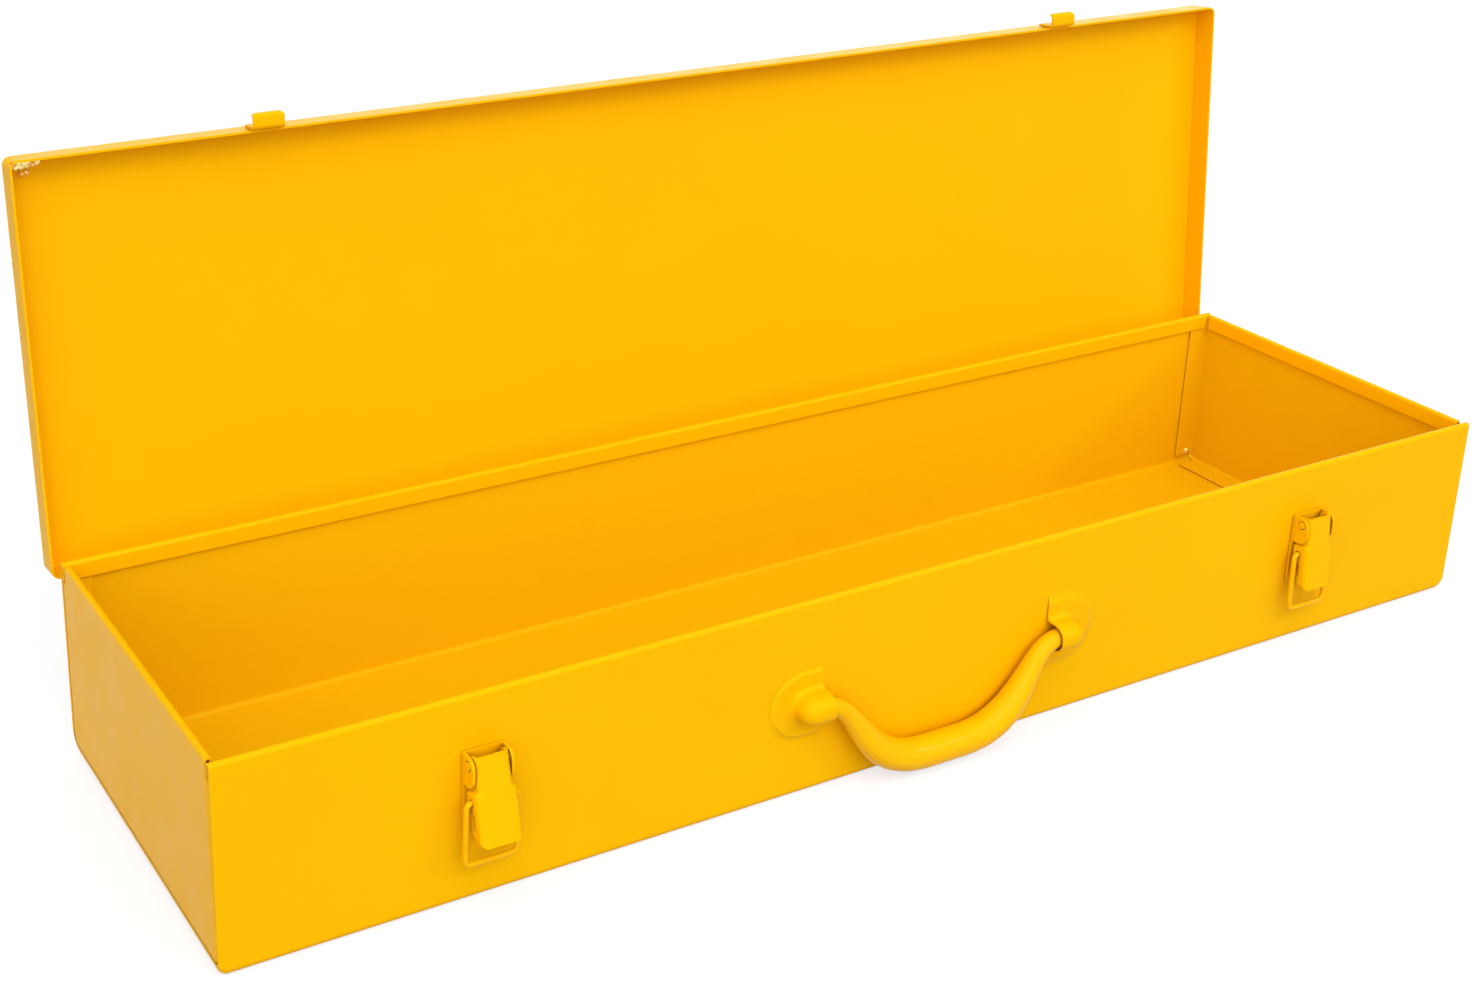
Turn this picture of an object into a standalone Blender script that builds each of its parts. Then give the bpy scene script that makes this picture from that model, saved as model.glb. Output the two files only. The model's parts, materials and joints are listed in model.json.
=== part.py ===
"""Long steel toolbox with a hinged pan lid, two toggle latches and a drop handle.

Units are metres, +Z is up and the box's front faces -Y.  The origin is the centre of
the underside.  The box is modelled with its lid standing open on its stops.
"""
import math

import bmesh
import bpy
from mathutils import Matrix, Vector

MM = 0.001

# Box and sheet
LENGTH = 620 * MM
DEPTH = 167 * MM
HEIGHT = 86 * MM
SHEET = 1.0 * MM
FIT = 0.3 * MM
FRONT_BEND = 3.0 * MM
BACK_BEND = 3.0 * MM
HEM = 7.5 * MM
HEM_GAP = 1.2 * MM

# End panels
END_RECESS = 0.1 * MM
END_FLANGE = 12.0 * MM
END_BEND = 1.3 * MM
END_HEM_NOTCH = 1.8 * MM
END_CORNER_GAP = 4.0 * MM

# Lid
LID_PLAY = 1.0 * MM
LID_SKIRT = 13.4 * MM
LID_BEND = 2.2 * MM
LID_CORNER = 3.6 * MM
LID_RELIEF_WIDTH = 0.6 * MM
LID_RELIEF_HEIGHT = 3.0 * MM
LID_OPEN = math.radians(95.5)

# Hinge along the back wall
HINGE_END_GAP = 9 * MM
HINGE_DROP = 13.3 * MM
HINGE_SHEET = 0.9 * MM
HINGE_PIN_RADIUS = 1.0 * MM
HINGE_LEAF = 12.0 * MM
KNUCKLES = 15
KNUCKLE_GAP = 0.5 * MM
NOTCH_CLEARANCE = 0.7 * MM

# Lid stops
STOP_OFFSET = 230 * MM
STOP_WIDTH = 16 * MM
STOP_SHEET = 1.2 * MM
STOP_REACH = 8.6 * MM
STOP_FOOT = 14 * MM
STOP_BEND = 2.0 * MM

# Latches
LATCH_OFFSET = 207.5 * MM
LATCH_SHEET = 1.2 * MM
PLATE_WIDTH = 17.4 * MM
PLATE_TOP = 64.2 * MM
PLATE_HEIGHT = 33.5 * MM
EAR_HEIGHT = 12.4 * MM
EAR_REACH = 9.0 * MM
EAR_CORNER = 4.2 * MM
EAR_INSET = 0.15 * MM
LEVER_SIDE_PLAY = 0.35 * MM
LEVER_PIVOT_Z = 60.8 * MM
LEVER_PIVOT_OUT = 5.4 * MM
LEVER_TOP = 3.2 * MM
LEVER_STEP = 9.6 * MM
LEVER_STEP_SLOPE = 1.2 * MM
LEVER_LENGTH = 33.5 * MM
LEVER_FACE_TOP = 3.4 * MM
LEVER_FACE_BOTTOM = 5.2 * MM
LEVER_BACK = 3.2 * MM
LEVER_BEND = 2.4 * MM
LEVER_LIP_CUT = 2.2 * MM
LEVER_CORNER = 3.0 * MM
LEVER_REST_LEFT = math.radians(13.0)
LEVER_REST_RIGHT = math.radians(3.0)
PAD_WIDTH = 7.0 * MM
PAD_LENGTH = 17.0 * MM
PAD_MARGIN = 5.0 * MM
PAD_RISE = 0.45 * MM
PAD_SLOPE = 1.8 * MM
PIVOT_PIN_RADIUS = 1.7 * MM
PIVOT_PIN_PROUD = 0.3 * MM
SLOT_LENGTH = 6.5 * MM
SLOT_WIDTH = 2.4 * MM
SLOT_DROP = 5.5 * MM

# Wire bails of the latches
WIRE_RADIUS = 1.2 * MM
BAIL_WIDTH = 21.0 * MM
BAIL_PIVOT_DROP = 14.0 * MM
BAIL_PIVOT_OUT = -0.6 * MM
BAIL_BEND = 2.2 * MM
BAIL_HOOK_IN = 2.6 * MM
BAIL_REST_LEFT = math.radians(-2.0)
BAIL_REST_RIGHT = math.radians(2.0)

# Catches on the lid
CATCH_WIDTH = 13.5 * MM
CATCH_SHEET = 1.2 * MM
CATCH_DROP = 3.3 * MM
CATCH_REACH = 7.1 * MM
CATCH_BEND = 1.4 * MM
CATCH_TIP = 0.8 * MM
CATCH_TOP_MARGIN = 6.5 * MM
CATCH_CORNER = 2.6 * MM

# Carry handle and its brackets
HANDLE_Z = 41.3 * MM
HANDLE_OUT = 5.8 * MM
HANDLE_SPAN = 135 * MM
HANDLE_DROP = 33.3 * MM
HANDLE_KNEE = 52.5 * MM
HANDLE_FLAT = 29.0 * MM
HANDLE_TOP_BEND = 16.0 * MM
HANDLE_BOTTOM_BEND = 34.0 * MM
GRIP_RADIUS = 7.0 * MM
NECK_RADIUS = 4.0 * MM
HANDLE_REST = math.radians(4.5)
BRACKET_MOUTH = 57.5 * MM
BRACKET_SHEET = 0.8 * MM
BRACKET_RADIUS = 13.5 * MM
BRACKET_CENTRE = 67.0 * MM
BRACKET_FILLET = 2.4 * MM
POCKET_HALF_WIDTH = 5.4 * MM
POCKET_HEIGHT = 10.7 * MM
POCKET_SIDE = 3.6 * MM
POCKET_SQUARENESS = 2.5
POCKET_OVERLAP = 2.0 * MM

# Paint and steel
YELLOW = (0.93, 0.46, 0.004, 1.0)
STEEL = (0.48, 0.47, 0.45, 1.0)

SMOOTH_ANGLE = math.radians(35)
ARC_STEP = math.radians(18)


def clear_scene():
    for item in list(bpy.data.objects):
        bpy.data.objects.remove(item, do_unlink=True)


def make_material(name, colour, roughness, metallic):
    material = bpy.data.materials.new(name)
    material.use_nodes = True
    shader = material.node_tree.nodes["Principled BSDF"]
    shader.inputs["Base Color"].default_value = colour
    shader.inputs["Roughness"].default_value = roughness
    shader.inputs["Metallic"].default_value = metallic
    return material


def painted(name):
    return make_material(name + "_paint", YELLOW, 0.35, 0.0)


def bare_steel(name):
    return make_material(name + "_steel", STEEL, 0.4, 1.0)


def add_empty(name, location, rotation_x=0.0, parent=None):
    empty = bpy.data.objects.new(name, None)
    empty.location = location
    empty.rotation_euler = (rotation_x, 0.0, 0.0)
    empty.parent = parent
    bpy.context.scene.collection.objects.link(empty)
    return empty


def add_part(name, bm, material, parent=None, location=(0.0, 0.0, 0.0)):
    """Close the mesh's normals outward and link it as one named piece."""
    bmesh.ops.recalc_face_normals(bm, faces=bm.faces)
    mesh = bpy.data.meshes.new(name)
    bm.to_mesh(mesh)
    bm.free()
    mesh.shade_smooth()
    mesh.set_sharp_from_angle(angle=SMOOTH_ANGLE)
    mesh.materials.append(material)
    part = bpy.data.objects.new(name, mesh)
    part.location = location
    part.parent = parent
    bpy.context.scene.collection.objects.link(part)
    return part


def combine(target, tools, operation):
    """Apply Boolean steps to a bmesh and return the result as a new bmesh."""
    base = add_part("work", target, None)
    for tool in tools:
        cutter = add_part("cutter", tool, None)
        step = base.modifiers.new("step", "BOOLEAN")
        step.operation = operation
        step.solver = "EXACT"
        step.object = cutter
    bpy.context.view_layer.update()
    graph = bpy.context.evaluated_depsgraph_get()
    result = bmesh.new()
    result.from_mesh(base.evaluated_get(graph).to_mesh())
    for step in list(base.modifiers):
        bpy.data.objects.remove(step.object, do_unlink=True)
    bpy.data.objects.remove(base, do_unlink=True)
    bmesh.ops.remove_doubles(result, verts=result.verts, dist=1e-7)
    bmesh.ops.dissolve_degenerate(result, edges=result.edges, dist=1e-7)
    return result


def cut(target, *tools):
    return combine(target, tools, "DIFFERENCE")


def trim(target, limit):
    """Keep only what lies inside the limiting body."""
    return combine(target, (limit,), "INTERSECT")


def unite(target, *tools):
    return combine(target, tools, "UNION")


def bend_path(start, heading, *moves):
    """Centre line of a folded strip: (length,) goes on, (turn, radius) bends."""
    point = Vector(start)
    path = [(point.copy(), heading)]
    for move in moves:
        if len(move) == 1:
            point = point + move[0] * Vector((math.cos(heading), math.sin(heading)))
            path.append((point.copy(), heading))
            continue
        turn, radius = move
        side = math.copysign(1.0, turn)
        centre = point + side * radius * Vector((-math.sin(heading), math.cos(heading)))
        steps = max(3, math.ceil(abs(turn) / ARC_STEP))
        for step in range(1, steps + 1):
            angle = heading + turn * step / steps
            point = centre - side * radius * Vector((-math.sin(angle), math.cos(angle)))
            path.append((point.copy(), angle))
        heading = heading + turn
    return path


def strip_outline(path, thickness):
    left = []
    right = []
    for point, heading in path:
        normal = Vector((-math.sin(heading), math.cos(heading)))
        left.append(point + normal * thickness / 2)
        right.append(point - normal * thickness / 2)
    return left + right[::-1]


def prism(outline, low, high, axes="yz"):
    """Extrude a closed outline; axes says which world axes the outline uses."""
    order = {"yz": (1, 2, 0), "xz": (0, 2, 1), "xy": (0, 1, 2)}[axes]
    bm = bmesh.new()
    rings = []
    for level in (low, high):
        ring = []
        for a, b in outline:
            place = [0.0, 0.0, 0.0]
            place[order[0]] = a
            place[order[1]] = b
            place[order[2]] = level
            ring.append(bm.verts.new(place))
        rings.append(ring)
    count = len(outline)
    for i in range(count):
        j = (i + 1) % count
        bm.faces.new((rings[0][i], rings[0][j], rings[1][j], rings[1][i]))
    bm.faces.new(rings[0][::-1])
    bm.faces.new(rings[1])
    return bm


def box(low, high):
    outline = [(low[0], low[1]), (high[0], low[1]), (high[0], high[1]), (low[0], high[1])]
    return prism(outline, low[2], high[2], "xy")


def merged(*meshes):
    """Put separate bodies into one bmesh, to serve as one cutter."""
    bm = bmesh.new()
    for part in meshes:
        holder = bpy.data.meshes.new("holder")
        part.to_mesh(holder)
        part.free()
        bm.from_mesh(holder)
        bpy.data.meshes.remove(holder)
    return bm


def rod(radius, low, high, centre=(0.0, 0.0), sides=16):
    """Round bar along X."""
    outline = []
    for i in range(sides):
        angle = math.tau * (i + 0.5) / sides
        outline.append((centre[0] + radius * math.cos(angle), centre[1] + radius * math.sin(angle)))
    return prism(outline, low, high, "yz")


def arc(centre, radius, start, end, steps):
    points = []
    for i in range(steps + 1):
        angle = start + (end - start) * i / steps
        points.append((centre[0] + radius * math.cos(angle), centre[1] + radius * math.sin(angle)))
    return points


def tube(points, radii, sides, plane_normal):
    """Round bar swept along a flat path, with a radius at every point."""
    bm = bmesh.new()
    normal = Vector(plane_normal)
    rings = []
    for i, point in enumerate(points):
        before = points[max(i - 1, 0)]
        after = points[min(i + 1, len(points) - 1)]
        tangent = (Vector(after) - Vector(before)).normalized()
        across = tangent.cross(normal)
        ring = []
        for k in range(sides):
            angle = math.tau * (k + 0.5) / sides
            offset = radii[i] * (math.cos(angle) * across + math.sin(angle) * normal)
            ring.append(bm.verts.new(Vector(point) + offset))
        rings.append(ring)
    for low, high in zip(rings, rings[1:]):
        for k in range(sides):
            j = (k + 1) % sides
            bm.faces.new((low[k], low[j], high[j], high[k]))
    bm.faces.new(rings[0][::-1])
    bm.faces.new(rings[-1])
    return bm


def folded_edge(bend, depth):
    """Section of a sheet's folded edge: inward offset and depth, outside first."""
    turns = [math.radians(angle) for angle in (0, 30, 60, 90)]
    outside = [(bend - bend * math.sin(a), bend - bend * math.cos(a)) for a in turns]
    inner = bend - SHEET
    inside = [(bend - inner * math.sin(a), bend - inner * math.cos(a)) for a in turns]
    return outside + [(0.0, depth), (SHEET, depth)] + inside[::-1]


def base_wrap():
    hem_radius = (HEM_GAP + SHEET) / 2
    front = FRONT_BEND - SHEET / 2
    back = BACK_BEND - SHEET / 2
    hem_leg = HEM - SHEET / 2 - hem_radius
    wall_top = HEIGHT - SHEET / 2 - hem_radius
    path = bend_path(
        (-DEPTH / 2 + SHEET * 1.5 + HEM_GAP, HEIGHT - HEM), math.pi / 2,
        (hem_leg,),
        (math.pi, hem_radius),
        (wall_top - SHEET / 2 - front,),
        (math.pi / 2, front),
        (DEPTH - SHEET - front - back,),
        (math.pi / 2, back),
        (wall_top - SHEET / 2 - back,),
        (math.pi, hem_radius),
        (hem_leg,),
    )
    bm = prism(strip_outline(path, SHEET), -LENGTH / 2, LENGTH / 2)
    return add_part("base_wrap", bm, painted("base_wrap"))


def end_stations(half_width, floor, top, front_radius, back_radius):
    """Points and inward normals down the back, along the floor and up the front."""
    stations = [((half_width, top), (-1.0, 0.0))]
    steps = 5
    for i in range(steps + 1):
        angle = -math.pi / 2 * i / steps
        centre = (half_width - back_radius, floor + back_radius)
        normal = (-math.cos(angle), -math.sin(angle))
        stations.append(((centre[0] - back_radius * normal[0], centre[1] - back_radius * normal[1]), normal))
    for i in range(steps + 1):
        angle = -math.pi / 2 - math.pi / 2 * i / steps
        centre = (-half_width + front_radius, floor + front_radius)
        normal = (-math.cos(angle), -math.sin(angle))
        stations.append(((centre[0] - front_radius * normal[0], centre[1] - front_radius * normal[1]), normal))
    stations.append(((-half_width, top), (1.0, 0.0)))
    return stations


def end_panel(name, side):
    """Flanged end wall; side is +1 for the right end and -1 for the left one."""
    face_x = LENGTH / 2 - END_RECESS
    flange_top = HEIGHT - HEM - 2 * FIT
    half_width = DEPTH / 2 - SHEET - FIT
    stations = end_stations(half_width, SHEET + FIT, flange_top,
                            FRONT_BEND - SHEET - FIT, BACK_BEND - SHEET - FIT)
    section = folded_edge(END_BEND, END_FLANGE)
    hem_half = DEPTH / 2 - 2 * SHEET - HEM_GAP - END_HEM_NOTCH
    bm = bmesh.new()

    def vert(y, z, depth):
        return bm.verts.new((side * (face_x - depth), y, z))

    rows = []
    for (y, z), (ny, nz) in stations:
        rows.append([vert(y + ny * inward, z + nz * inward, depth) for inward, depth in section])
    for low, high in zip(rows, rows[1:]):
        for j in range(len(section) - 1):
            bm.faces.new((low[j], low[j + 1], high[j + 1], high[j]))
    bm.faces.new(rows[0])
    bm.faces.new(rows[-1])

    hem_radius = (HEM_GAP + SHEET) / 2
    hem_start = HEIGHT - SHEET / 2 - hem_radius
    path = bend_path((SHEET / 2, hem_start), math.pi / 2,
                     (-math.pi, hem_radius), (HEM - SHEET / 2 - hem_radius,))
    corners = []
    for y in (hem_half, -hem_half):
        shoulder = (vert(y, flange_top, 0.0), vert(y, flange_top, SHEET))
        hem = []
        for point, heading in path:
            normal = Vector((-math.sin(heading), math.cos(heading)))
            outer = point + normal * SHEET / 2
            inner = point - normal * SHEET / 2
            hem.append((vert(y, outer[1], outer[0]), vert(y, inner[1], inner[0])))
        corners.append([shoulder] + hem)
    back, front = corners
    bm.faces.new([row[0] for row in rows] + [front[0][0], front[1][0], back[1][0], back[0][0]])
    bm.faces.new([row[-1] for row in rows] + [front[0][1], front[1][1], back[1][1], back[0][1]])
    for rung, row in ((back[0], rows[0]), (front[0], rows[-1])):
        bm.faces.new((rung[0], rung[1], row[-1], row[0]))
    for rungs in corners:
        for low, high in zip(rungs, rungs[1:]):
            bm.faces.new((low[0], low[1], high[1], high[0]))
    for k in range(1, len(back) - 1):
        bm.faces.new((back[k][0], back[k + 1][0], front[k + 1][0], front[k][0]))
        bm.faces.new((back[k][1], back[k + 1][1], front[k + 1][1], front[k][1]))
    bm.faces.new((back[-1][0], back[-1][1], front[-1][1], front[-1][0]))

    near = side * (face_x - 2 * END_BEND)
    far = side * (face_x - 2 * END_FLANGE)
    corner_cuts = []
    for end in (1, -1):
        inner = end * (half_width - END_CORNER_GAP)
        outer = end * (half_width + SHEET)
        corner_cuts.append(box((min(near, far), min(inner, outer), 0.0),
                               (max(near, far), max(inner, outer), SHEET + FIT + END_CORNER_GAP)))
    bm = cut(bm, merged(*corner_cuts))
    return add_part(name, bm, painted(name))


def hinge_length():
    return LENGTH - 2 * HINGE_END_GAP


def hinge_setback():
    """How far the hinge axis lies behind the back wall."""
    return lid_overhang() + FIT + HINGE_SHEET / 2 + knuckle_radius()


def knuckle_radius():
    return HINGE_PIN_RADIUS + FIT + HINGE_SHEET / 2


def lid_overhang():
    return LID_PLAY + SHEET


def hinge_axis():
    return Vector((0.0, DEPTH / 2 + hinge_setback(), HEIGHT - HINGE_DROP))


def lid_panel_height():
    """Outer face of the closed lid's panel above the hinge axis."""
    return HINGE_DROP + FIT + SHEET


def lid_edge():
    """Lower edge of the closed lid's skirt above the hinge axis."""
    return lid_panel_height() - LID_SKIRT


def rounded_rectangle(half_x, half_y, radius, steps=5):
    points = []
    for corner, (sx, sy) in enumerate(((1, 1), (-1, 1), (-1, -1), (1, -1))):
        centre = (sx * (half_x - radius), sy * (half_y - radius))
        start = corner * math.pi / 2
        points += arc(centre, radius, start, start + math.pi / 2, steps)
    return points


def round_ended(half_width, low, radius, high):
    """Outline of a strip that is square at the high end and rounded at the low end."""
    quarter = math.pi / 2
    points = [(half_width, high), (-half_width, high)]
    points += arc((-half_width + radius, low + radius), radius, 2 * quarter, 3 * quarter, 5)
    points += arc((half_width - radius, low + radius), radius, 3 * quarter, 4 * quarter, 5)
    return points


def lid_pan(parent):
    axis = hinge_axis()
    half_x = LENGTH / 2 + lid_overhang()
    half_y = DEPTH / 2 + lid_overhang()
    bm = bmesh.new()
    rings = []
    for inward, depth in folded_edge(LID_BEND, LID_SKIRT):
        outline = rounded_rectangle(half_x - inward, half_y - inward, LID_CORNER - inward)
        height = lid_panel_height() - depth
        rings.append([bm.verts.new((x, y - axis.y, height)) for x, y in outline])
    count = len(rings[0])
    for low, high in zip(rings, rings[1:]):
        for i in range(count):
            j = (i + 1) % count
            bm.faces.new((low[i], low[j], high[j], high[i]))
    bm.faces.new(rings[0])
    bm.faces.new(rings[-1][::-1])

    reach = LID_CORNER
    slots = []
    for sx in (1, -1):
        for sy in (1, -1):
            slot = box((-reach, -LID_RELIEF_WIDTH / 2, -LID_RELIEF_HEIGHT),
                       (reach, LID_RELIEF_WIDTH / 2, LID_RELIEF_HEIGHT))
            corner = Vector((sx * (half_x - LID_CORNER / 3), sy * (half_y - LID_CORNER / 3) - axis.y, lid_edge()))
            turn = Matrix.Rotation(math.atan2(sy, sx), 4, "Z")
            bmesh.ops.transform(slot, matrix=Matrix.Translation(corner) @ turn, verts=slot.verts)
            slots.append(slot)
    bm = cut(bm, merged(*slots))
    return add_part("lid_pan", bm, painted("lid_pan"), parent)


def knuckle_gaps(first, z_low, z_high, y_low, y_high):
    """Boxes that clear every second knuckle place along the hinge."""
    pitch = hinge_length() / KNUCKLES
    gaps = []
    for k in range(first, KNUCKLES, 2):
        low = -hinge_length() / 2 + k * pitch - KNUCKLE_GAP / 2
        high = low + pitch + KNUCKLE_GAP
        gaps.append(box((low, y_low, z_low), (high, y_high, z_high)))
    return merged(*gaps)


def hinge_base_leaf():
    """Leaf on the back wall, cranked out and rolled over the pin."""
    axis = hinge_axis()
    radius = knuckle_radius()
    wall_line = -hinge_setback() + FIT + HINGE_SHEET / 2
    jog = -radius - wall_line
    lean = math.radians(45)
    bend = HINGE_SHEET
    slant = (jog - 2 * bend * (1 - math.cos(lean))) / math.sin(lean)
    rise = slant * math.cos(lean) + 2 * bend * math.sin(lean)
    clear = radius + HINGE_SHEET / 2 + NOTCH_CLEARANCE
    path = bend_path(
        (wall_line, -clear - rise - HINGE_LEAF), math.pi / 2,
        (HINGE_LEAF,),
        (-lean, bend),
        (slant,),
        (lean, bend),
        (clear,),
        (-math.radians(300), radius),
    )
    bm = prism(strip_outline(path, HINGE_SHEET), -hinge_length() / 2, hinge_length() / 2)
    reach = 2 * hinge_setback()
    bm = cut(bm, knuckle_gaps(1, -clear, reach, -reach, reach))
    return add_part("hinge_base_leaf", bm, painted("hinge_base_leaf"), None, axis)


def hinge_lid_leaf(parent):
    """Leaf on the lid's back skirt, rolled under the pin."""
    radius = knuckle_radius()
    clear = radius + HINGE_SHEET / 2 + NOTCH_CLEARANCE
    path = bend_path((-radius, HINGE_LEAF), -math.pi / 2, (HINGE_LEAF,), (math.radians(300), radius))
    bm = prism(strip_outline(path, HINGE_SHEET), -hinge_length() / 2, hinge_length() / 2)
    reach = 2 * hinge_setback()
    bm = cut(bm, knuckle_gaps(0, -reach, clear, -reach, reach))
    return add_part("hinge_lid_leaf", bm, painted("hinge_lid_leaf"), parent)


def hinge_pin():
    axis = hinge_axis()
    bm = rod(HINGE_PIN_RADIUS, -hinge_length() / 2, hinge_length() / 2, (axis.y, axis.z), 12)
    return add_part("hinge_pin", bm, bare_steel("hinge_pin"))


def lid_stop(name, x):
    """Hooked lug under the hinge; the open lid's leaf rests on its tip."""
    axis = hinge_axis()
    leaf_back = HINGE_SHEET / 2 - knuckle_radius()
    tip_out = STOP_REACH + STOP_SHEET / 2
    along = (tip_out - leaf_back * math.cos(LID_OPEN)) / math.sin(LID_OPEN)
    leaf_under = -leaf_back * math.sin(LID_OPEN) + along * math.cos(LID_OPEN)
    wall_line = -hinge_setback() + FIT + STOP_SHEET / 2
    shelf = -HINGE_LEAF - 2 * hinge_setback()
    quarter = math.pi / 2
    path = bend_path(
        (wall_line, shelf - STOP_BEND - STOP_FOOT), quarter,
        (STOP_FOOT,),
        (-quarter, STOP_BEND),
        (STOP_REACH - wall_line - 2 * STOP_BEND,),
        (quarter, STOP_BEND),
        (leaf_under - FIT - shelf - STOP_BEND,),
    )
    bm = prism(strip_outline(path, STOP_SHEET), x - STOP_WIDTH / 2, x + STOP_WIDTH / 2)
    return add_part(name, bm, painted(name), None, axis)


def lid_catch(name, x, parent):
    """J hook on the lid's front skirt, open upward when the lid is shut."""
    axis = hinge_axis()
    face = -DEPTH / 2 - lid_overhang() - axis.y
    line = face - FIT - CATCH_SHEET / 2
    top = lid_panel_height() - CATCH_TOP_MARGIN
    lip = lid_edge() - CATCH_DROP + CATCH_SHEET / 2
    quarter = math.pi / 2
    straight = CATCH_REACH - FIT - CATCH_SHEET - 2 * CATCH_BEND
    path = bend_path(
        (line, top), -quarter,
        (top - lip - CATCH_BEND,),
        (-quarter, CATCH_BEND),
        (straight,),
        (-quarter, CATCH_BEND),
        (CATCH_TIP,),
    )
    half = CATCH_WIDTH / 2
    bm = prism(strip_outline(path, CATCH_SHEET), x - half, x + half)
    limit = round_ended(half + FIT, face - CATCH_REACH - FIT, CATCH_CORNER + FIT, face + CATCH_REACH)
    bm = trim(bm, prism([(x + a, b) for a, b in limit], lip - CATCH_REACH, top + CATCH_REACH, "xy"))
    return add_part(name, bm, painted(name), parent)


def bail_length():
    """From the bail's pivot to its bar, when the shut latch pulls on the catch."""
    lip_top = hinge_axis().z + lid_edge() - CATCH_DROP + CATCH_SHEET
    seat_z = lip_top + WIRE_RADIUS + FIT
    seat_out = lid_overhang() + (FIT + CATCH_SHEET + CATCH_REACH) / 2
    pivot_z = LEVER_PIVOT_Z - BAIL_PIVOT_DROP
    pivot_out = LEVER_PIVOT_OUT + BAIL_PIVOT_OUT
    return math.hypot(seat_z - pivot_z, seat_out - pivot_out)


def front_point(x, out, z):
    """Place on the front: out is measured forward from the front wall."""
    return Vector((x, -DEPTH / 2 - out, z))


def latch_plate(name, x):
    """Back plate with two round-nosed ears; outlines use y forward of the wall as -y."""
    wall = -DEPTH / 2 - FIT
    half = PLATE_WIDTH / 2
    low = PLATE_TOP - PLATE_HEIGHT
    corner = LATCH_SHEET
    outline = rounded_rectangle(half, PLATE_HEIGHT / 2, corner, 3)
    middle = PLATE_TOP - PLATE_HEIGHT / 2
    bm = prism([(x + a, middle + b) for a, b in outline], wall - LATCH_SHEET, wall, "xz")

    ear_low = PLATE_TOP - EAR_HEIGHT
    nose = -DEPTH / 2 - EAR_REACH
    root = wall - LATCH_SHEET / 2
    quarter = math.pi / 2
    ear = [(root, ear_low)]
    ear.append((root, PLATE_TOP - EAR_INSET))
    ear += arc((nose + EAR_CORNER, PLATE_TOP - EAR_INSET - EAR_CORNER), EAR_CORNER, quarter, 2 * quarter, 5)
    ear += arc((nose + EAR_CORNER, ear_low + EAR_CORNER), EAR_CORNER, 2 * quarter, 3 * quarter, 5)
    ears = []
    for side in (1, -1):
        inner = x + side * (half - EAR_INSET - LATCH_SHEET)
        outer = x + side * (half - EAR_INSET)
        ears.append(prism(ear, min(inner, outer), max(inner, outer)))
    bm = unite(bm, merged(*ears))
    pivot = front_point(x, LEVER_PIVOT_OUT, LEVER_PIVOT_Z)
    hole = rod(PIVOT_PIN_RADIUS + FIT, x - PLATE_WIDTH, x + PLATE_WIDTH, (pivot.y, pivot.z))
    bm = cut(bm, hole)
    assert low < ear_low
    return add_part(name, bm, painted(name))


def lever_width():
    """Width of the lever between the plate's ears."""
    return PLATE_WIDTH - 2 * (EAR_INSET + LATCH_SHEET + LEVER_SIDE_PLAY)


def lever_tail_width():
    """Width of the lever below the ears, flush with their outer faces."""
    return PLATE_WIDTH - 2 * EAR_INSET


def lever_section(width, face):
    """Channel across the lever: x and forward distance from the pivot line."""
    half = width / 2
    outer = []
    outer.append((half, -LEVER_BACK))
    outer += arc((half - LEVER_BEND, face - LEVER_BEND), LEVER_BEND, 0.0, math.pi / 2, 4)
    inner_radius = LEVER_BEND - LATCH_SHEET
    inner = []
    inner.append((half - LATCH_SHEET, -LEVER_BACK))
    inner += arc((half - LEVER_BEND, face - LEVER_BEND), inner_radius, 0.0, math.pi / 2, 4)
    outer += [(-a, b) for a, b in outer[::-1]]
    inner += [(-a, b) for a, b in inner[::-1]]
    return outer + inner[::-1]


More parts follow.
